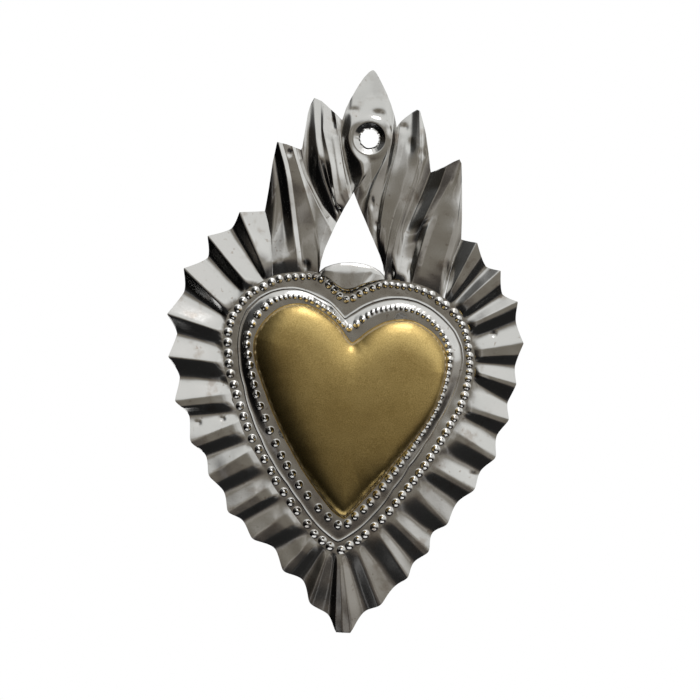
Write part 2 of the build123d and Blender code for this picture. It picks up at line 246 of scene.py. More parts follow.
CROWN_CREASES: list[Crease] = [
    Crease([(-158, -250, 0), (-160, -229, 0.5), (-165, -182, -0.3), (-172, -155, -0.9),
        (-178, -137, -1.3)]),
    Crease([(-128, -256, 0.3), (-134, -228, 0.8), (-140, -190, 0.3), (-146, -150, -0.5),
        (-158, -80, -0.1), (-166, -40, 0.8)], 0.3),
    Crease([(-113, -256, 0.3), (-115, -232, 0.7), (-119, -205, 0.9), (-126, -165, 0.7),
        (-132, -130, 0.8), (-141, -80, 1.5), (-148, -52, 1.9), (-160, -17, 2.2)], 0.1),
    Crease([(-106, -254, 0.3), (-106, -245, 0.4), (-107, -230, 0.4), (-111, -205, 0.3),
        (-118, -165, 0.3), (-124, -130, 0.4), (-133, -80, 0.9), (-141, -50, 1.2),
        (-152, -18, 1.7)], 0.1),
    Crease([(-76, -236, 1.2), (-78, -200, 0.9), (-87, -160, 0.6), (-103, -112, 0.7),
        (-118, -70, 0.9), (-136, -22, 1.3)], 0.14),
    Crease([(-58, -171, 0.4), (-66, -152, 0.5), (-80, -130, 0.5), (-96, -101, 0.5),
        (-112, -73, 0.6), (-122, -48, 0.7), (-128, -24, 0.9)], 0.1),
    Crease([(-50, -151, 0), (-60, -141, -0.5), (-76, -124, -0.7), (-92, -98, -0.7),
        (-107, -70, -0.5), (-116, -46, 0.0), (-120, -28, 0.6)], 0.12),
    Crease([(-46, -142, 0), (-58, -118, 0.1), (-74, -78, 0.5), (-87, -36, 1.3), (-94, -5, 0.9),
        (-98, 30, 0.0), (-101, 67, -0.9)], 0.25),
    Crease([(-43, -135, 0.1), (-54, -118, 0.5), (-67, -80, 0.9), (-78, -40, 1.2), (-86, 0, 0.7),
        (-91, 63, -0.7)], 0.2),
    Crease([(-40, -129, 0.3), (-53, -116, 1.1), (-59, -88, 1.4), (-66, -49, 1.5), (-74, -20, 1.2),
        (-82, 10, 0.8), (-83, 59, -0.5)], 0.1),
    Crease([(-35, -120, 0.3), (-46, -100, 0.9), (-51, -75, 1.1), (-58, -40, 1.1), (-66, 0, 0.8),
        (-72, 49, -0.4)], 0.3),
    Crease([(-30, -110, 0.3), (-35, -90, 0.7), (-40, -70, 0.7), (-46, -45, 0.6), (-52, -14, 0.6),
        (-58, 14, 0.6), (-64, 40, 0.2)], 0.1),
    Crease([(-25, -100, 0), (-30, -84, -0.7), (-36, -66, -0.8), (-42, -46, -0.7),
        (-48, -20, -0.5), (-52, 6, -0.5), (-50, 30, -0.4)], 0.1),
    Crease([(-23, -97, 0), (-14, -82, 0.4), (-6, -66, 0.6), (-10, -46, 0.7), (-25, -20, 0.6),
        (-33, 12, 0.5), (-36, 70, -0.7)], 0.2),
    Crease([(-21, -100, 0), (-12, -84, 0.4), (0, -60, 0.3), (4, -32, 0.2), (-2, 32, 0.2),
        (-1, 80, -0.9), (0, 123, -1.6)], 0.06),
    Crease([(-13, -118, 0), (-2, -100, 0.2), (9, -72, 0.1), (24, -45, 0.2), (33, -20, 0.3),
        (34, 20, 0.3), (27, 80, -0.9)], 0.3),
    Crease([(-2, -141, 0), (3, -118, 0.5), (8, -91, 0.6), (20, -57, 0.6), (34, -30, 0.4),
        (39, 5, 0.3), (41, 45, -0.4)], 0.1),
    Crease([(17, -180, 0.1), (21, -152, -0.1), (23, -128, -0.2), (26, -103, -0.2),
        (33, -75, -0.3), (41, -44, -0.5), (46, -10, -0.7), (47, 23, -0.9)], 0.14),
    Crease([(29, -205, 0), (27, -177, 0.5), (28, -143, 0.7), (32, -104, 0.8), (40, -62, 0.7),
        (49, -20, 0.4), (53, 32, -0.2)], 0.2),
    Crease([(38, -240, 0), (38, -200, 0.7), (43, -150, 0.8), (51, -104, 0.9), (60, -50, 0.8),
        (66, -5, 0.5), (71, 49, -0.5)], 0.4),
    Crease([(51, -250, 0), (50, -205, 0.9), (57, -164, 1.1), (65, -135, 1.2), (76, -96, 1.2),
        (88, -50, 1.2), (92, -10, 1.3), (86, 53, 0.2)], 0.1),
    Crease([(57, -252, 0.2), (58, -240, 0.9), (59, -205, 0.6), (64, -160, 0.6), (74, -125, 0.6),
        (86, -88, 0.5), (98, -45, 0.6), (105, -18, 0.7)], 0.3),
    Crease([(61, -254, 0.3), (63, -243, 0.8), (66, -215, 0.4), (71, -163, -0.3), (78, -143, -0.5),
        (89, -113, -0.6), (101, -82, -0.5), (112, -52, -0.2)], 0.16),
    Crease([(78, -256, 0.3), (80, -247, 0.4), (82, -236, 0.1), (86, -210, -0.4), (92, -180, -0.3),
        (97, -158, 0.3), (104, -138, 1.0), (115, -110, 1.2), (128, -80, 1.3),
        (139, -41, 1.8)], 0.1),
    Crease([(88, -258, 0.3), (91, -240, 0.5), (95, -218, 0.8), (99, -198, 1.0), (108, -161, 1.0),
        (118, -133, 0.8), (131, -101, 0.7), (146, -68, 0.7), (156, -31, 1.2)], 0.12),
    Crease([(98, -259, 0.3), (101, -246, 0.5), (105, -228, 0.6), (110, -198, 0.6),
        (119, -165, 0.6), (129, -135, 0.7), (141, -103, 0.7), (154, -68, 0.6),
        (162, -32, 0.9)], 0.3),
    Crease([(134, -268, 0), (138, -240, 0.5), (141, -215, 0.7), (148, -185, 0.7),
        (156, -150, 0.7), (163, -115, 0.5), (166, -66, 0.0)], 0.1),
    Crease([(140, -272, 0), (146, -245, 0.0), (151, -215, 0.1), (158, -185, 0.0),
        (169, -140, -0.2)], 0.2),
    Crease([(146, -276, 0), (150, -255, -0.5), (155, -225, -0.7), (160, -200, -0.7),
        (171, -169, -0.6)], 0.2),
]


def metres(points: np.ndarray) -> np.ndarray:
    """Turn thousandths across, thousandths up and millimetres of relief into metres.

    Args:
        points: array whose last axis holds across, up and relief.

    Returns:
        The same array as X, Y and Z in the frame.
    """
    out = np.empty(points.shape)
    out[..., 0] = np.clip(points[..., 0] * SHARE, *REACH_ACROSS)
    out[..., 1] = -(SHEET_LEVEL + points[..., 2]) * MM
    out[..., 2] = np.clip(points[..., 1] * SHARE, *REACH_UP)
    return out


def soften(values: np.ndarray, width: float) -> np.ndarray:
    """Blur a closed row of values.

    Args:
        values: one row, read as a ring.
        width: standard deviation in places of the row.

    Returns:
        The blurred row.
    """
    count = len(values)
    steps = np.minimum(np.arange(count), count - np.arange(count))
    kernel = np.exp(-0.5 * (steps / width) ** 2)
    kernel /= kernel.sum()
    return np.real(np.fft.ifft(np.fft.fft(values) * np.fft.fft(kernel)))


def turn_of(across: np.ndarray, up: np.ndarray) -> np.ndarray:
    """Angle of a place seen from the heart's middle, from straight up, clockwise."""
    return np.arctan2(across - CENTRE[0], up - CENTRE[1]) % math.tau


class Ring:
    """A closed line round the heart's middle, as a distance for each turn."""

    def __init__(self, places: list[Place], softness: float = 3.0) -> None:
        """Read the line from places along it.

        Args:
            places: thousandths across and up.
            softness: blur along the line, in places of the ring.
        """
        across = np.array([place[0] for place in places], float)
        up = np.array([place[1] for place in places], float)
        turns = turn_of(across, up)
        reach = np.hypot(across - CENTRE[0], up - CENTRE[1])
        order = np.argsort(turns)
        self.turns = np.arange(RINGS) * math.tau / RINGS
        level = np.interp(self.turns, turns[order], reach[order], period=math.tau)
        self.reach = soften(level, softness) if softness else level

    def at(self, turns: np.ndarray) -> np.ndarray:
        """Distance from the middle at these turns."""
        return np.interp(turns, self.turns, self.reach, period=math.tau)


def brass_ring() -> Ring:
    """Edge of the brass heart, from the enlargement's points to thousandths."""
    places = []
    for right, down in BRASS_EDGE:
        across = right / ENLARGEMENT + ENLARGED_CORNER[0] - HOLE_PIXEL[0]
        fall = -(down / ENLARGEMENT + ENLARGED_CORNER[1] - HOLE_PIXEL[1])
        places.append((
            (across * LEAN_COSINE - fall * LEAN_SINE) / PIXELS_TO_SHARE,
            (across * LEAN_SINE + fall * LEAN_COSINE) / PIXELS_TO_SHARE,
        ))
    return Ring(places, 2.5)


def fade(values: np.ndarray, start: float, span: float) -> np.ndarray:
    """Rise from 0 to 1 as values go from a start over a span, below zero where they fall."""
    return np.clip((values - start) / span, 0, 1)


def smooth(share: np.ndarray) -> np.ndarray:
    """Smooth step from 0 to 1, held at both ends."""
    held = np.clip(share, 0, 1)
    return held**2 * (3 - 2 * held)


def dented(points: np.ndarray) -> np.ndarray:
    """Relief of the sheet's small dents, in millimetres.

    Args:
        points: places in thousandths, across and up first.

    Returns:
        The change of relief for each place.
    """
    total = np.zeros(points.shape[:-1])
    for across, up, wide, tall, depth in DENTS:
        away = ((points[..., 0] - across) / wide) ** 2 + ((points[..., 1] - up) / tall) ** 2
        total -= depth * np.exp(-(away**1.3))
    return total


def ground(up: np.ndarray) -> np.ndarray:
    """Level of the sheet outside the ridge, which rises towards the heart's tip."""
    return LIFT * smooth(fade(up, LIFT_START, LIFT_SPAN))


def band_edge() -> Ring:
    """Line where the worked band ends and the pleats and flames begin."""
    ring = Ring(OUTER_BEADS, 5.0)
    ring.reach = ring.reach + BEAD_MARGIN
    return ring


def placed(turns: np.ndarray, reach: np.ndarray) -> np.ndarray:
    """Places across and up at these turns and distances from the heart's middle."""
    return np.stack([CENTRE[0] + reach * np.sin(turns), CENTRE[1] + reach * np.cos(turns)], -1)


def ring_line(ring: Ring) -> np.ndarray:
    """Points along a ring, clockwise from straight up."""
    return placed(ring.turns, ring.reach)


def bell(reach: int, width: float) -> np.ndarray:
    """Weights of a blur that takes in this many places on each side."""
    kernel = np.exp(-0.5 * (np.arange(-reach, reach + 1) / width) ** 2)
    return kernel / kernel.sum()


def along_path(path: np.ndarray, shares: np.ndarray) -> np.ndarray:
    """Points at these shares of a path's length.

    Args:
        path: points of the path, one a row.
        shares: numbers from 0 to 1.

    Returns:
        One point a share.
    """
    steps = np.hypot(*(path[1:, :2] - path[:-1, :2]).T)
    lengths = np.concatenate([[0.0], np.cumsum(steps)])
    wanted = shares * lengths[-1]
    return np.stack([np.interp(wanted, lengths, column) for column in path.T], -1)


def share_on(path: np.ndarray, place: np.ndarray) -> float:
    """Share of a path's length at the point nearest to a place.

    Args:
        path: points of the path, one a row.
        place: across and up.

    Returns:
        The share, from 0 to 1.
    """
    shares = np.linspace(0, 1, 4001)
    spots = along_path(path, shares)
    return float(shares[np.argmin(np.hypot(spots[:, 0] - place[0], spots[:, 1] - place[1]))])


def fold_rise(t: np.ndarray, start: float, end: float) -> np.ndarray:
    """Way from one fold line to the next: straight panels, rounded at both folds.

    Args:
        t: shares of the way across.
        start: share of the way that the first fold's rounding takes.
        end: the same for the second fold.

    Returns:
        Values from 0 to 1.
    """
    slope = 1 / (1 - start / 2 - end / 2)
    first = slope * t**2 / (2 * start)
    middle = slope * (t - start / 2)
    last = 1 - slope * (1 - t) ** 2 / (2 * end)
    return np.where(t < start, first, np.where(t > 1 - end, last, middle))


def new_piece(name: str, bm: Mesh, material: Material) -> Piece:
    """Turn a bmesh into a named piece that rides on the ornament.

    Args:
        name: the piece's name.
        bm: its mesh, freed here.
        material: its finish.

    Returns:
        The object.
    """
    bmesh.ops.recalc_face_normals(bm, faces=bm.faces[:])
    for face in bm.faces:
        face.smooth = True
    for edge in bm.edges:
        edge.smooth = edge.calc_face_angle(0) < SHARP_ANGLE
    mesh = bpy.data.meshes.new(name)
    bm.to_mesh(mesh)
    bm.free()
    piece = bpy.data.objects.new(name, mesh)
    bpy.context.scene.collection.objects.link(piece)
    piece.data.materials.append(material)
    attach(piece, "root")
    return piece


def lay_grid(points: np.ndarray, closed: bool) -> Mesh:
    """Make a grid and move its corners to the given points.

    Args:
        points: array of columns, rows and places in metres.
        closed: whether the last column meets the first.

    Returns:
        The open surface.
    """
    columns, rows = points.shape[0], points.shape[1]
    bm = bmesh.new()
    bmesh.ops.create_grid(bm, x_segments=columns - 1, y_segments=rows - 1, size=1.0)
    for vert in bm.verts:
        column = round((vert.co.x + 1) / 2 * (columns - 1))
        row = round((vert.co.y + 1) / 2 * (rows - 1))
        vert.co = Vector(points[column, row])
    if closed:
        bmesh.ops.remove_doubles(bm, verts=bm.verts[:], dist=2e-6)
    return bm


def thicken(bm: Mesh, wall: float = SHEET) -> None:
    """Give an open sheet its thickness towards the back.

    Args:
        bm: the sheet's front.
        wall: how far back its other face lies.
    """
    made = bmesh.ops.extrude_face_region(bm, geom=bm.faces[:], use_keep_orig=True)
    backs = [item for item in made["geom"] if isinstance(item, bmesh.types.BMVert)]
    bmesh.ops.translate(bm, verts=backs, vec=Vector((0, wall, 0)))


@dataclass
class FoldedSheet:
    """Sheet between a foot line and a cut edge, folded along creases."""

    creases: list[Crease]
    foot: np.ndarray
    rim: np.ndarray
    columns: int = 14
    rows: int = 36
    fineness: int = 4
    blur: int = 14
    blur_width: float = 6.0

    def line(self, crease: Crease) -> np.ndarray:
        """Stations of one crease, evenly along it and smooth.

        Args:
            crease: the fold line.

        Returns:
            Array of rows by across, up and relief.
        """
        steps = self.rows * self.fineness
        fine = along_path(np.array(crease.stations, float), np.linspace(0, 1, steps + 1))
        near, far = fine[self.blur : 0 : -1], fine[-2 : -2 - self.blur : -1]
        padded = np.concatenate([2 * fine[0] - near, fine, 2 * fine[-1] - far])
        kernel = bell(self.blur, self.blur_width)
        line = np.stack([np.convolve(column, kernel, "valid") for column in padded.T], -1)
        return line[:: self.fineness]

    def points(self) -> np.ndarray:
        """Places of the whole sheet.

        Returns:
            Array of columns by rows by across, up and relief.
        """
        lines = [self.line(crease) for crease in self.creases]
        feet = [share_on(self.foot, line[0]) for line in lines]
        rims = [share_on(self.rim, line[-1]) for line in lines]
        v = np.linspace(0, 1, self.rows + 1)[None, :, None]
        blocks = []
        for index in range(len(lines) - 1):
            near, far = lines[index], lines[index + 1]
            last = index == len(lines) - 2
            t = np.linspace(0, 1, self.columns + 1)[: None if last else -1]
            here, there = self.creases[index], self.creases[index + 1]
            after, before = here.ledge_after, there.ledge_before
            across = np.clip((t - after) / (1 - after - before), 0, 1)
            ease = fold_rise(across, here.rounding, there.rounding)
            block = near[None] + (far - near)[None] * t[:, None, None]
            block[..., 2] = near[None, :, 2] + (far - near)[None, :, 2] * ease[:, None]
            foot = along_path(self.foot, feet[index] + (feet[index + 1] - feet[index]) * t)
            rim = along_path(self.rim, rims[index] + (rims[index + 1] - rims[index]) * t)
            block[..., :2] += (foot - block[:, 0, :2])[:, None] * (1 - v) ** 3
            block[..., :2] += (rim - block[:, -1, :2])[:, None] * v**3
            blocks.append(block)
        return np.concatenate(blocks)


def unevenness(points: np.ndarray, size: float, depth: float, seed: int) -> np.ndarray:
    """Slow hand-made waves over a sheet.

    Args:
        points: places in thousandths, across and up first.
        size: length of a wave in thousandths.
        depth: height of the waves in millimetres.
        seed: which set of waves.

    Returns:
        Relief in millimetres for each place.
    """
    generator = np.random.default_rng(seed)
    total = np.zeros(points.shape[:-1])
    for _ in range(9):
        heading = generator.uniform(0, math.tau)
        pitch = size * generator.uniform(0.6, 1.7)
        phase = generator.uniform(0, math.tau)
        way = points[..., 0] * math.cos(heading) + points[..., 1] * math.sin(heading)
        total += np.sin(way / pitch * math.tau + phase)
    return total * depth / 3


@dataclass(frozen=True)
class TinFinish:
    """Bright tinplate: soft hammered waves, a fine grain and a little tarnish."""

    name: str = "tinplate"
    colour: Colour = (0.76, 0.75, 0.73)
    tarnish: Colour = (0.4, 0.33, 0.27)
    roughness: float = 0.15
    tarnish_roughness: float = 0.25

    def build(self) -> Material:
        """Make the material.

        Returns:
            The material.
        """
        sheet = NodeSheet(self.name)
        cloud = sheet.noise(260, 3)
        spots = sheet.noise(900, 2)
        grain = sheet.noise(5200, 2)
        dirt = sheet.ramp(cloud, 0.56, 0.74)
        speck = sheet.ramp(spots, 0.66, 0.74)
        stain = sheet.mix(0.5, dirt, speck, "FLOAT")
        colour = sheet.mix(stain, self.colour, self.tarnish)
        sheet.link(colour, "Base Color")
        rough = sheet.spread(grain, self.roughness - 0.04, self.roughness + 0.05)
        worn = sheet.spread(stain, 0.0, self.tarnish_roughness - self.roughness)
        sheet.link(sheet.join("ADD", rough, worn), "Roughness")
        waves, ripples = sheet.noise(420, 2), sheet.noise(1500, 2)
        sheet.bump([(waves, 0.000012), (ripples, 0.000005), (grain, 0.0000015)])
        return sheet.material


@dataclass(frozen=True)
class BrassFinish:
    """Satin brass with a fine grain and slow changes of tone."""

    name: str = "satin_brass"
    colour: Colour = (0.82, 0.61, 0.24)
    deep: Colour = (0.52, 0.36, 0.12)
    roughness: float = 0.36

    def build(self) -> Material:
        """Make the material.

        Returns:
            The material.
        """
        sheet = NodeSheet(self.name)
        cloud = sheet.noise(140, 3)
        grain = sheet.noise(2600, 3)
        fine = sheet.noise(4300, 2)
        speckle = sheet.ramp(sheet.mix(0.65, cloud, fine, "FLOAT"), 0.29, 0.71)
        colour = sheet.mix(speckle, self.colour, self.deep)
        sheet.link(colour, "Base Color")
        sheet.link(sheet.spread(grain, self.roughness - 0.05, self.roughness + 0.05), "Roughness")
        sheet.shader.inputs["Coat Weight"].default_value = 0.15
        sheet.shader.inputs["Coat Roughness"].default_value = 0.3
        sheet.bump([(sheet.noise(300, 2), 0.00003), (grain, 0.000014), (fine, 0.000006)])
        return sheet.material


@dataclass(frozen=True)
class SolderFinish:
    """Dull grey solder with a crusted skin."""

    name: str = "dull_solder"
    colour: Colour = (0.5, 0.5, 0.5)
    crust: Colour = (0.3, 0.29, 0.27)

    def build(self) -> Material:
        """Make the material.

        Returns:
            The material.
        """
        sheet = NodeSheet(self.name)
        crust = sheet.ramp(sheet.noise(1800, 4), 0.45, 0.62)
        sheet.link(sheet.mix(crust, self.colour, self.crust), "Base Color")
        sheet.link(sheet.spread(crust, 0.34, 0.6), "Roughness")
        sheet.bump([(sheet.noise(1400, 3), 0.00006)])
        return sheet.material


class NodeGraph:
    """Nodes of a material or a world, with short calls for the ones it needs."""

    def __init__(self, tree: bpy.types.NodeTree) -> None:
        """Take hold of a tree's nodes and links."""
        self.nodes = tree.nodes
        self.links = tree.links

    def add(self, kind: str) -> bpy.types.Node:
        """Add a node of this kind."""
        return self.nodes.new(kind)

    def feed(self, target: Socket, source: Value) -> None:
        """Join an input to a socket, or set it to a number or a colour."""
        if isinstance(source, bpy.types.NodeSocket):
            self.links.new(source, target)
        else:
            target.default_value = (*source, 1) if isinstance(source, tuple) else source

    def ramp(
        self, value: Socket, low: float, high: float, start: float = 0, end: float = 1,
        way: str = "SMOOTHSTEP",
    ) -> Socket:
        """Map the values from low to high on to start to end.

        Args:
            value: what is mapped.
            low: value that becomes start, as all below it do.
            high: value that becomes end, as all above it do.
            start: first result.
            end: last result.
            way: how the results run from start to end.

        Returns:
            The result.
        """
        node = self.add("ShaderNodeMapRange")
        node.interpolation_type = way
        for place, number in zip(node.inputs[1:5], (low, high, start, end)):
            place.default_value = number
        self.links.new(value, node.inputs["Value"])
        return node.outputs["Result"]

    def spread(self, value: Socket, low: float, high: float) -> Socket:
        """Map 0 to 1 evenly on to low to high."""
        return self.ramp(value, 0, 1, low, high, "LINEAR")

    def join(self, operation: str, *values: Value) -> Socket:
        """Join values by an operation."""
        node = self.add("ShaderNodeMath")
        node.operation = operation
        for place, value in zip(node.inputs, values):
            self.feed(place, value)
        return node.outputs[0]

    def mix(
        self, share: Value, first: Value, second: Value, kind: str = "RGBA", way: str = "MIX"
    ) -> Socket:
        """Mix two colours or two numbers.

        Args:
            share: 0 for the first, 1 for the second.
            first: socket or constant.
            second: socket or constant.
            kind: RGBA for colours, FLOAT for numbers.
            way: how they mix.

        Returns:
            The result.
        """
        node = self.add("ShaderNodeMix")
        node.data_type = kind
        colours = kind == "RGBA"
        if colours:
            node.blend_type = way
        self.feed(node.inputs[0], share)
        self.feed(node.inputs[6 if colours else 2], first)
        self.feed(node.inputs[7 if colours else 3], second)
        return node.outputs[2 if colours else 0]


class NodeSheet(NodeGraph):
    """A material being put together."""

    def __init__(self, name: str, metallic: float = 1.0) -> None:
        """Start a material of this name, metal unless told otherwise."""
        self.material = bpy.data.materials.new(name)
        self.material.use_nodes = True
        super().__init__(self.material.node_tree)
        self.shader = self.nodes["Principled BSDF"]
        self.shader.inputs["Metallic"].default_value = metallic
        self.place = self.add("ShaderNodeTexCoord").outputs["Object"]

    def noise(self, scale: float, detail: float) -> Socket:
        """Add a cloud pattern on Object coordinates, with its patterns a metre and finer layers."""
        node = self.add("ShaderNodeTexNoise")
        node.inputs["Scale"].default_value = scale
        node.inputs["Detail"].default_value = detail
        self.links.new(self.place, node.inputs["Vector"])
        return node.outputs["Fac"]

    def link(self, socket: Socket, name: str) -> None:
        """Join a socket to an input of the shader."""
        self.links.new(socket, self.shader.inputs[name])

    def bump(self, layers: list[tuple[Socket, float]]) -> None:
        """Stack bumps, each a value and its depth in metres."""
        below = None
        for value, depth in layers:
            node = self.add("ShaderNodeBump")
            node.inputs["Strength"].default_value = 1.0
            node.inputs["Distance"].default_value = depth
            self.links.new(value, node.inputs["Height"])
            if below is not None:
                self.links.new(below, node.inputs["Normal"])
            below = node.outputs["Normal"]
        self.link(below, "Normal")


@dataclass
class WorkedBand:
    """Field round the brass heart: two rows of beads and the step between them."""

    material: Material
    around: int = 1500
    rows: int = 26
    plate_rows: int = 6
    plate_inset: float = 11
    bead_radius: float = 0.47
    bead_rise: float = 0.66
    bead_round: float = 1.7
    step_start: float = 0.55
    step_end: float = 0.97
    ridge_rise: float = 0.09

    def beads(self) -> np.ndarray:
        """Centres and sizes of all beads.

        Returns:
            Array of across, up, radius and rise in millimetres for each bead.
        """
        rows = []
        for places, (least, most) in ((OUTER_BEADS, OUTER_RADII), (INNER_BEADS, INNER_RADII)):
            count = len(places)
            for index, (across, up) in enumerate(places):
                before, after = places[index - 1], places[(index + 1) % count]
                pitch = (math.dist(before, (across, up)) + math.dist(after, (across, up))) / 2
                radius = min(max(pitch * SHARE_MM * self.bead_radius, least), most)
                rows.append((across, up, radius, radius * self.bead_rise))
        return np.array(rows)

    def relief(self, across: np.ndarray, up: np.ndarray, base: np.ndarray) -> np.ndarray:
        """Raise the beads as low domes out of the band's plain relief.

        Args:
            across: thousandths.
            up: thousandths.
            base: relief of the plain band in millimetres.

        Returns:
            Relief with the beads.
        """
        total = base.copy()
        for x, z, radius, rise in self.beads():
            away = np.hypot(across - x, up - z) * SHARE_MM
            near = away < radius
            gap = away[near] / radius
            total[near] += rise * np.clip(1 - gap**2, 0, None) ** self.bead_round
        return total

    def build(self) -> list[Piece]:
        """Make the plate under the brass, then the inner and the outer half of the band.

        Returns:
            The three pieces.
        """
        turns = np.linspace(0, math.tau, self.around + 1)
        gold = brass_ring()
        gold.reach = gold.reach - self.plate_inset
        ridge = Ring(RIDGE_LINE, 3.0)
        outer = band_edge()
        pieces = []
        for name, start, end, rows in (
            ("field_plate", 0 * turns, gold.at(turns), self.plate_rows),
            ("band_inner", gold.at(turns), ridge.at(turns), self.rows),
            ("band_outer", ridge.at(turns), outer.at(turns), self.rows),
        ):
            v = np.linspace(0, 1, rows + 1)[None]
            reach = start[:, None] + (end - start)[:, None] * v
            flat = placed(turns[:, None], reach)
            across, up = flat[..., 0], flat[..., 1]
            if name == "band_inner":
                fall = smooth((v - self.step_start) / (self.step_end - self.step_start))
                base = FIELD_RISE + (ground(up) - FIELD_RISE) * fall
                base = base + self.ridge_rise * np.exp(-(((v - 1) / 0.04) ** 2))
            elif name == "band_outer":
                base = self.ridge_rise * np.exp(-((v / 0.05) ** 2)) + ground(up)
            else:
                base = FIELD_RISE + 0 * reach
            relief = self.relief(across, up, base)
            if name != "field_plate":
                waves = unevenness(flat, 40, 0.03, 3)
                relief += waves * np.sin(math.pi * v)
            points = metres(np.stack([across, up, relief], -1))
            bm = lay_grid(points, closed=True)
            thicken(bm)
            pieces.append(new_piece(name, bm, self.material))
        return pieces


@dataclass
class PleatedBorder:
    """Border of hand-struck pleats from one side of the crown round to the other."""

    material: Material
    columns: int = 15
    rows: int = 40
    crest_rounding: float = 0.12
    valley_rounding: float = 0.32
    scallop_bow: float = 0.5
    edge_steps: int = 3600
    edge_blur: int = 40
    edge_blur_width: float = 11.0
    # Above this place the cut edge keeps its points, and below it they grow round
    pointed_above: float = -380
    round_over: float = -160
    least_round: float = 0.1

    def creases(self) -> list[Crease]:
        """Fold lines from the crown's left, round the foot, to its right.

        Returns:
            The creases in order.
        """
        root_line = ring_line(band_edge())
        made = []
        rows = [
            (pleat, LEFT_TEMPERS[index // 2], index % 2, 1)
            for index, pleat in enumerate(LEFT_PLEATS)
        ]
        rows += [(pleat, (rise, 0, 0), 0, 1) for pleat, rise in zip(FOOT_CRESTS, FOOT_RELIEFS)]
        right = [
            (pleat, RIGHT_TEMPERS[index // 2], index % 2, -1)
            for index, pleat in enumerate(RIGHT_PLEATS)
        ]
        for pleat, temper, valley, way in rows + right[::-1]:
            relief = temper[valley]
            after = temper[2] if way > 0 and not valley else 0.0
            before = temper[2] if way < 0 and not valley else 0.0
            rim_at, root = np.array(pleat, float).reshape(2, 2)
            root_at = root_line[np.argmin(np.hypot(*(root_line - root).T))]
            level = float(ground(root_at[1]))
            stations = [(*root_at, level)]
            for share, rise in PLEAT_RISE:
                left = level * (1 - share)
                stations.append((*(root_at + (rim_at - root_at) * share), relief * rise + left))
            stations.append((*rim_at, relief))
            rounding = self.valley_rounding if valley else self.crest_rounding
            made.append(Crease(stations, rounding, after, before))
        return made

    def build(self) -> Piece:
        """Make the border.

        Returns:
            The piece.
        """
        creases = [CROWN_CREASES[0]] + self.creases() + [CROWN_CREASES[-1]]
        outline = ring_line(band_edge())
        rim = np.array([crease.stations[-1][:2] for crease in creases], float)
        foot = np.array([crease.stations[0][:2] for crease in creases], float)
        foot = self.follow(outline, foot)
        sheet = FoldedSheet(creases, foot, self.scallops(creases, rim), self.columns, self.rows)
        flat = sheet.points()
        flat[..., 2] += dented(flat)
        waves = unevenness(flat, 48, 0.032, 11)
        flat[..., 2] += waves * np.linspace(0, 1, flat.shape[1])[None]
        bm = lay_grid(metres(flat), closed=False)
        thicken(bm)
        return new_piece("pleated_border", bm, self.material)

    def follow(self, outline: np.ndarray, feet: np.ndarray) -> np.ndarray:
        """Heart line between the first and the last foot.

        Args:
            outline: the whole heart line.
            feet: feet of the creases in order.

        Returns:
            The part of the line that the border stands on.
        """
        spots = [int(np.argmin(np.hypot(*(outline - foot).T))) for foot in feet]
        line = [feet[0]]
        for here, there in zip(spots, spots[1:]):
            step = -1 if there < here else 1
            line += [outline[index] for index in range(here, there, step)]
        line.append(feet[-1])
        return np.array(line)

    def scallops(self, creases: list[Crease], rim: np.ndarray) -> np.ndarray:
        """Cut edge with pointed crests and rounded valleys.

        Args:
            creases: fold lines in order.
            rim: their ends.

        Returns:
            Points of the cut edge.
        """
        line = []
        t = np.linspace(0, 1, 24, endpoint=False)
        for index in range(len(rim) - 1):
            start, end = rim[index], rim[index + 1]
            rise = creases[index].stations[-1][2] > creases[index + 1].stations[-1][2]
            tip, notch = (start, end) if rise else (end, start)
            foot = np.array(creases[index].stations[0][:2])
            outward = (start - foot) / np.hypot(*(start - foot))
            depth = float((notch - tip) @ outward)
            way = t if rise else 1 - t
            bow = np.sin(math.pi * way / 2) - way
            reach = self.scallop_bow * depth
            line.append(start + (end - start) * t[:, None] + outward * (reach * bow)[:, None])
        line.append(rim[-1:])
        edge = along_path(np.concatenate(line), np.linspace(0, 1, self.edge_steps + 1))
        kernel = bell(self.edge_blur, self.edge_blur_width)
        padded = np.pad(edge, ((self.edge_blur, self.edge_blur), (0, 0)), mode="edge")
        round_edge = np.stack([np.convolve(column, kernel, "valid") for column in padded.T], -1)
        share = fade(edge[:, 1], self.pointed_above, self.round_over)
        share = np.maximum(share, self.least_round)
        return edge + (round_edge - edge) * share[:, None]


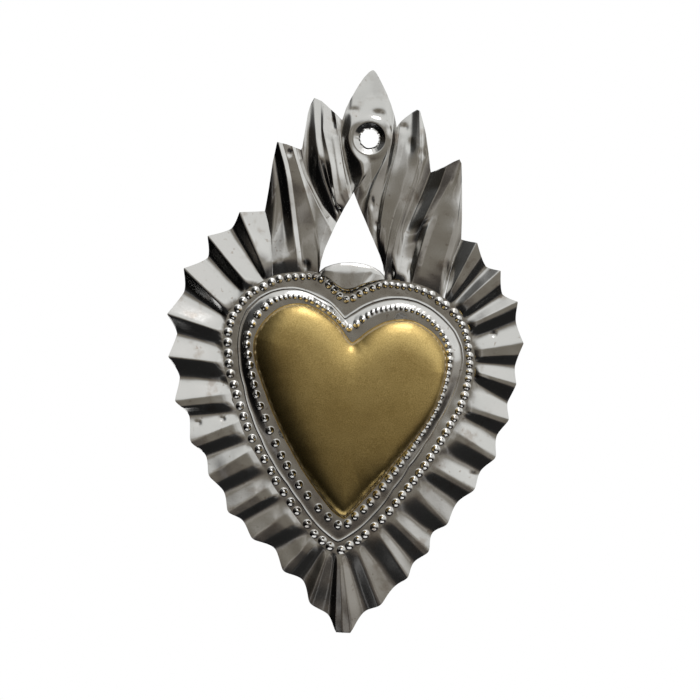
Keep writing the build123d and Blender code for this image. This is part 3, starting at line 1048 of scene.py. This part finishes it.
@dataclass
class Crown:
    """Five flames above the heart, with the window and the hanging hole."""

    material: Material
    bore_radius: float = 2.2
    dish_radius: float = 3.55
    seat_radius: float = 3.9
    dish_depth: float = 1.0
    seat_level: float = 0.3
    seat_blend: float = 1.5
    dish_curve: float = 1.15
    torn: float = 0.12
    burr_width: float = 0.32
    burr_rise: float = 0.3
    burr_torn: float = 0.22
    around: int = 240
    columns: int = 16
    rows: int = 88

    def foot_line(self) -> np.ndarray:
        """Line that the flames rise from: heart line, window's edge and heart line again."""
        outline = ring_line(band_edge())
        left = outline[(outline[:, 0] < -76) & (outline[:, 1] > -300)][::-1]
        left = left[np.argsort(left[:, 0])]
        left = left[left[:, 0] > -160]
        right = outline[(outline[:, 0] > 39) & (outline[:, 1] > -300)]
        right = right[np.argsort(right[:, 0])]
        right = right[right[:, 0] < 146]
        return np.concatenate([left, np.array(WINDOW_LEFT + WINDOW_RIGHT[1:], float), right])

    def build(self) -> list[Piece]:
        """Make the flames and the seat of the hole.

        Returns:
            The two pieces.
        """
        rim = np.array(FLAME_EDGE, float)
        sheet = FoldedSheet(CROWN_CREASES, self.foot_line(), rim, self.columns, self.rows)
        flat = sheet.points()
        flat[..., 2] += unevenness(flat, 70, 0.03, 5) + dented(flat)
        away = np.hypot(flat[..., 0], flat[..., 1]) * SHARE_MM
        hold = smooth((away - self.seat_radius) / self.seat_blend)
        flat[..., 2] = self.seat_level * (1 - hold) + flat[..., 2] * hold
        bm = lay_grid(metres(flat), closed=False)
        self.punch(bm)
        thicken(bm)
        return [new_piece("crown", bm, self.material), self.seat()]

    def seat(self) -> Piece:
        """Make the dished seat and the torn burr of the hole.

        Returns:
            The piece.
        """
        turns = np.linspace(0, math.tau, self.around + 1)
        generator = np.random.default_rng(21)
        ragged = soften(generator.uniform(-1, 1, self.around), 2.2)
        ragged = np.append(ragged, ragged[0])[:, None] / np.abs(ragged).max()
        share = np.linspace(0, 1, 19)[None]
        bore = self.bore_radius - 0.1 + self.torn * ragged
        away = bore + (self.seat_radius - bore) * share
        fall = fade(away, bore, self.dish_radius - bore)
        level = self.seat_level - self.dish_depth * (1 - fall**self.dish_curve)
        burr = np.clip(1 - (away - bore) / self.burr_width, 0, 1)
        level = level + burr * (self.burr_rise + self.burr_torn * ragged)
        across, up = away * np.sin(turns)[:, None], away * np.cos(turns)[:, None]
        points = np.stack([across / SHARE_MM, up / SHARE_MM, level], -1)
        bm = lay_grid(metres(points), closed=True)
        thicken(bm, 0.8 * SHEET)
        return new_piece("hole_seat", bm, self.material)

    def punch(self, bm: Mesh) -> None:
        """Cut out the seat's round and bring its edge to a circle.

        Args:
            bm: the crown's front.
        """
        bore = self.seat_radius * MM
        inside = [face for face in bm.faces if math.hypot(*face.calc_center_median().xz) < bore]
        bmesh.ops.delete(bm, geom=inside, context="FACES")
        for vert in bm.verts:
            reach = math.hypot(vert.co.x, vert.co.z)
            if vert.is_boundary and reach < bore * 1.25:
                vert.co.x *= bore / reach
                vert.co.z *= bore / reach
                vert.co.y = -(SHEET_LEVEL + self.seat_level) * MM


@dataclass
class Pillow:
    """Small swelling between the lobes, below the window."""

    material: Material
    rise: float = 1.6
    sink: float = 0.05
    columns: int = 80
    rows: int = 40
    climb: float = 0.14
    sag: float = 0.16
    fall_start: float = 0.62
    fall_span: float = 0.42
    # A slanted crease: place and half width in thousandths, depth in millimetres
    crease_place: Place = (14, -240)
    crease_lean: float = 0.5
    crease_width: float = 5
    crease_depth: float = 0.22

    def build(self) -> Piece:
        """Make the swelling.

        Returns:
            The piece.
        """
        t = np.linspace(0, 1, self.columns + 1)
        top = along_path(np.array(SILL, float), t)
        ring = band_edge()
        turns = turn_of(top[:, 0], top[:, 1] - 12)
        base = ring.at(turns)
        foot = placed(turns, base)
        v = np.linspace(0, 1, self.rows + 1)
        points = np.empty((len(t), len(v), 3))
        points[..., :2] = foot[:, None] + (top - foot)[:, None] * v[None, :, None]
        ends = np.clip(np.sin(math.pi * t), 0, None) ** 0.5
        bulge = smooth(v / self.climb) * (1 - self.sag * np.clip(v - self.climb, 0, None))
        fall = np.clip(v - self.fall_start, 0, None) / self.fall_span
        bulge = bulge * np.sqrt(np.clip(1 - fall**2, 0, None))
        points[..., 2] = self.rise * ends[:, None] * bulge[None] - self.sink
        across, up = points[..., 0] - self.crease_place[0], points[..., 1] - self.crease_place[1]
        fold = (across - self.crease_lean * up) / self.crease_width
        points[..., 2] -= self.crease_depth * np.exp(-(fold**2)) * np.sin(math.pi * v)[None]
        bm = lay_grid(metres(points), closed=False)
        thicken(bm)
        return new_piece("pillow", bm, self.material)


@dataclass
class BrassHeart:
    """Domed heart of satin brass with a narrow flange."""

    material: Material
    flange: float = 0.22
    wall: float = 0.25
    rise: float = 5.7
    around: int = 900
    rows: int = 70
    lip_share: float = 0.22
    lip_width: float = 0.22
    side_share: float = 0.43
    crown_share: float = 0.35
    crown_place: Place = (-14, -490)
    crown_reach: Place = (250, 285)
    # The shoulder's softness in millimetres: on the whole, less by this, more by this
    shoulder: float = 2.2
    sharper: float = 1.5
    softer: float = 1.0
    low_part: float = 0.75
    # Start and span of each fade between them, across or up
    right_fades: tuple[Place, Place] = ((-4, 60), (-335, -70))
    left_fades: tuple[Place, Place] = ((-44, -80), (-340, -80))
    low_fade: Place = (-560, -120)
    top_blend: float = 0.5

    def build(self) -> Piece:
        """Make the dome.

        Returns:
            The piece.
        """
        ring = brass_ring()
        turns = np.linspace(0, math.tau, self.around + 1)
        share = np.linspace(0, 1, self.rows + 1)
        v = 1 - (1 - share) ** 1.7
        reach = ring.at(turns)[:, None] * v[None]
        flat = placed(turns[:, None], reach)
        across, up = flat[..., 0], flat[..., 1]
        away = self.inset(across, up, ring_line(ring))
        inner = np.clip(away - self.flange, 0, None)
        wide, tall = self.crown_reach
        beside, above = across - self.crown_place[0], up - self.crown_place[1]
        crown = np.clip(1 - (beside / wide) ** 2 - (above / tall) ** 2, 0, None)
        right = fade(across, *self.right_fades[0]) * fade(up, *self.right_fades[1])
        low = fade(up, *self.low_fade)
        left = fade(across, *self.left_fades[0]) * fade(up, *self.left_fades[1]) * (1 - low)
        shoulder = self.shoulder - self.sharper * np.maximum(right, self.low_part * low)
        shoulder = shoulder + self.softer * left
        lip = self.lip_share * (1 - np.exp(-inner / self.lip_width))
        dome = lip + self.side_share * (1 - np.exp(-inner / shoulder))
        dome = dome + self.crown_share * crown * fade(inner, 0, self.top_blend)
        relief = FIELD_RISE + 0.2 + self.wall + self.rise * dome
        bm = lay_grid(metres(np.stack([across, up, relief], -1)), closed=True)
        thicken(bm, self.wall * MM)
        return new_piece("brass_dome", bm, self.material)

    def inset(self, across: np.ndarray, up: np.ndarray, outline: np.ndarray) -> np.ndarray:
        """Distance of each place from the rim.

        Args:
            across: thousandths.
            up: thousandths.
            outline: points of the rim.

        Returns:
            Distances in millimetres.
        """
        halves = []
        for half in (outline[: RINGS // 2], outline[RINGS // 2 :]):
            away = np.full(across.shape, 1e9)
            for x, z in half:
                away = np.minimum(away, (across - x) ** 2 + (up - z) ** 2)
            halves.append(np.sqrt(away) * SHARE_MM)
        near, far = np.minimum(*halves), np.maximum(*halves)
        width = 0.01 + 0.8 * np.clip((-500 - up) / 110, 0, 1)
        meet = np.clip(1 - (far - near) / width, 0, 1)
        return near - width * meet**2 / 4


class Studio:
    """Pale sweep, room light and lamps."""

    OVERHEAD = (0.15, 0.0, 0.99)
    STOPS = (
        (0.0, (0.006, 0.006, 0.006)), (0.36, (0.009, 0.009, 0.009)),
        (0.44, (0.04, 0.034, 0.029)), (0.475, (0.084, 0.076, 0.063)),
        (0.55, (0.092, 0.085, 0.072)), (0.61, (0.22, 0.22, 0.215)),
        (0.68, (0.33, 0.335, 0.33)), (0.92, (0.36, 0.36, 0.355)), (0.955, (0.5, 0.5, 0.5)),
    )
    RIGHT_GLOW = 0.07
    RIGHT_START = (0.26, 0.5)
    RIGHT_FOOT = (-0.2, 0.0)
    RIGHT_TOP = (0.3, 0.5, 1, 0)
    STRIP_PLACE = 0.24
    STRIP_GLOW = 0.09
    STRIP_EDGE = (0.015, 0.045)
    STRIP_ENDS = (0.3, 0.45, 1, 0)
    LEFT_FADE = (-0.62, -0.32, 0.12, 1)
    BEHIND_FADE = (-0.25, 0.3, 2.2, 0.7)
    HALF_WIDTH = 0.7
    BEND = 0.4
    AIM = (0, 0, -0.048)

    def build(self) -> None:
        """Set up everything around the ornament."""
        self.room()
        self.sweep()
        self.lamp("lamp_top", Vector((0.1, -0.36, 0.95)), 0.5, 2.0)
        self.lamp("lamp_spark", Vector((0.1, -0.5, 0.8)), 0.1, 0.12)

    def room(self) -> None:
        """Light of the room: pale overhead, warm grey ahead, dark below and on the left."""
        world = bpy.data.worlds.new("room")
        bpy.context.scene.world = world
        world.use_nodes = True
        graph = NodeGraph(world.node_tree)
        place = graph.add("ShaderNodeTexCoord").outputs["Generated"]
        split = graph.add("ShaderNodeSeparateXYZ")
        graph.feed(split.inputs[0], place)
        side, ahead, tall = split.outputs
        slope = graph.add("ShaderNodeVectorMath")
        slope.operation = "DOT_PRODUCT"
        graph.feed(slope.inputs[0], place)
        slope.inputs[1].default_value = self.OVERHEAD
        height = slope.outputs["Value"]
        ramp = graph.add("ShaderNodeValToRGB")
        graph.feed(ramp.inputs["Fac"], graph.join("MULTIPLY_ADD", height, 0.5, 0.5))
        while len(ramp.color_ramp.elements) < len(self.STOPS):
            ramp.color_ramp.elements.new(0.5)
        for element, (position, colour) in zip(ramp.color_ramp.elements, self.STOPS):
            element.position = position
            element.color = (*colour, 1)
        rightward = graph.ramp(side, *self.RIGHT_START, 0, self.RIGHT_GLOW)
        rightward = graph.join("MULTIPLY", rightward, graph.ramp(height, *self.RIGHT_FOOT))
        rightward = graph.join("MULTIPLY", rightward, graph.ramp(height, *self.RIGHT_TOP))
        off = graph.join("SUBTRACT", graph.join("ABSOLUTE", side), self.STRIP_PLACE)
        strip = graph.ramp(graph.join("ABSOLUTE", off), *self.STRIP_EDGE, self.STRIP_GLOW, 0)
        ends = graph.ramp(graph.join("ABSOLUTE", tall), *self.STRIP_ENDS)
        extra = graph.join("ADD", rightward, graph.join("MULTIPLY", strip, ends))
        total = graph.mix(1.0, ramp.outputs["Color"], extra, way="ADD")
        left, behind = graph.ramp(side, *self.LEFT_FADE), graph.ramp(ahead, *self.BEHIND_FADE)
        camera = graph.add("ShaderNodeLightPath").outputs["Is Camera Ray"]
        light = graph.nodes["Background"]
        graph.feed(light.inputs["Color"], graph.mix(camera, total, (1, 1, 1)))
        power = graph.mix(camera, graph.join("MULTIPLY", left, behind), 1.0, "FLOAT")
        graph.feed(light.inputs["Strength"], power)

    def sweep(self) -> None:
        """Backdrop and floor behind the ornament, as one curved sheet."""
        bm = bmesh.new()
        bmesh.ops.create_grid(bm, x_segments=1, y_segments=24, size=1.0)
        for vert in bm.verts:
            share = (vert.co.y + 1) / 2
            bend = min(max((share - 0.4) / 0.2, 0), 1) * math.pi / 2
            run = min(share / 0.4, 1) * 1.2 + self.BEND * math.sin(bend)
            climb = max((share - 0.6) / 0.4, 0) + self.BEND * (1 - math.cos(bend))
            side = math.copysign(self.HALF_WIDTH, vert.co.x)
            vert.co = Vector((side, run - 0.25, climb - 0.9))
        mesh = bpy.data.meshes.new("sweep")
        bm.to_mesh(mesh)
        bm.free()
        sweep = bpy.data.objects.new("sweep", mesh)
        bpy.context.scene.collection.objects.link(sweep)
        sheet = NodeSheet("pale_sweep", 0.0)
        sheet.shader.inputs["Base Color"].default_value = (0.82, 0.82, 0.82, 1)
        sheet.shader.inputs["Roughness"].default_value = 0.9
        path = sheet.add("ShaderNodeLightPath")
        seen = sheet.join("ADD", path.outputs["Is Camera Ray"], path.outputs["Is Glossy Ray"])
        seen = sheet.join("ADD", seen, path.outputs["Is Transmission Ray"])
        glow = sheet.add("ShaderNodeEmission")
        glow.inputs["Color"].default_value = (1, 1, 1, 1)
        mixer = sheet.add("ShaderNodeMixShader")
        sheet.links.new(seen, mixer.inputs[0])
        sheet.links.new(sheet.shader.outputs[0], mixer.inputs[1])
        sheet.links.new(glow.outputs[0], mixer.inputs[2])
        output = sheet.nodes["Material Output"]
        sheet.links.new(mixer.outputs[0], output.inputs["Surface"])
        sweep.data.materials.append(sheet.material)

    def lamp(self, name: str, place: Vector, size: float, power: float) -> None:
        """Hang a soft lamp that faces the ornament.

        Args:
            name: its name.
            place: where it hangs, in metres.
            size: side of its square face.
            power: watts.
        """
        data = bpy.data.lights.new(name, "AREA")
        data.size = size
        data.energy = power
        lamp = bpy.data.objects.new(name, data)
        bpy.context.scene.collection.objects.link(lamp)
        lamp.location = place
        aim = Vector(self.AIM) - place
        lamp.rotation_euler = aim.to_track_quat("-Z", "Y").to_euler()


@dataclass
class PhotoCamera:
    """Camera square to the front, rolled as the ornament hangs in the photograph."""

    lens: float = 135.0
    frame_height: float = 0.15718
    lean_sine: float = LEAN_SINE
    across: float = -1.893
    up: float = -47.542

    def build(self) -> None:
        """Make the camera and set it as the scene's."""
        data = bpy.data.cameras.new("camera")
        data.lens = self.lens
        data.clip_start, data.clip_end = 0.01, 20
        camera = bpy.data.objects.new("camera", data)
        bpy.context.scene.collection.objects.link(camera)
        away = self.frame_height * self.lens / data.sensor_width
        cosine = math.sqrt(1 - self.lean_sine**2)
        right = Vector((cosine, 0, self.lean_sine))
        above = Vector((-self.lean_sine, 0, cosine))
        back = Vector((0, -1, 0))
        turn = Matrix((right, above, back)).transposed()
        place = Matrix.Translation((self.across * MM, -away, self.up * MM))
        camera.matrix_world = place @ turn.to_4x4()
        bpy.context.scene.camera = camera


def main() -> None:
    """Build the ornament's looks in order."""
    logging.basicConfig(level=logging.INFO, format="%(name)s: %(message)s")
    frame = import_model()
    bpy.context.scene.view_settings.view_transform = "Standard"
    PhotoCamera().build()
    Studio().build()
    tin = TinFinish().build()
    brass = BrassFinish().build()
    solder = SolderFinish().build()
    pieces = WorkedBand(tin).build()
    pieces += [PleatedBorder(tin).build(), *Crown(tin).build(), Pillow(tin).build()]
    for piece in pieces:
        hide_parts("tin_sheet")
    heart = BrassHeart(brass).build()
    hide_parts("brass_heart")
    tacks = frame["nodes"]["solder_tacks"]
    tacks.data.materials.clear()
    tacks.data.materials.append(solder)
    for piece in pieces + [heart]:
        LOG.info("%s: %d faces", piece.name, len(piece.data.polygons))


if __name__ == "__main__":
    main()
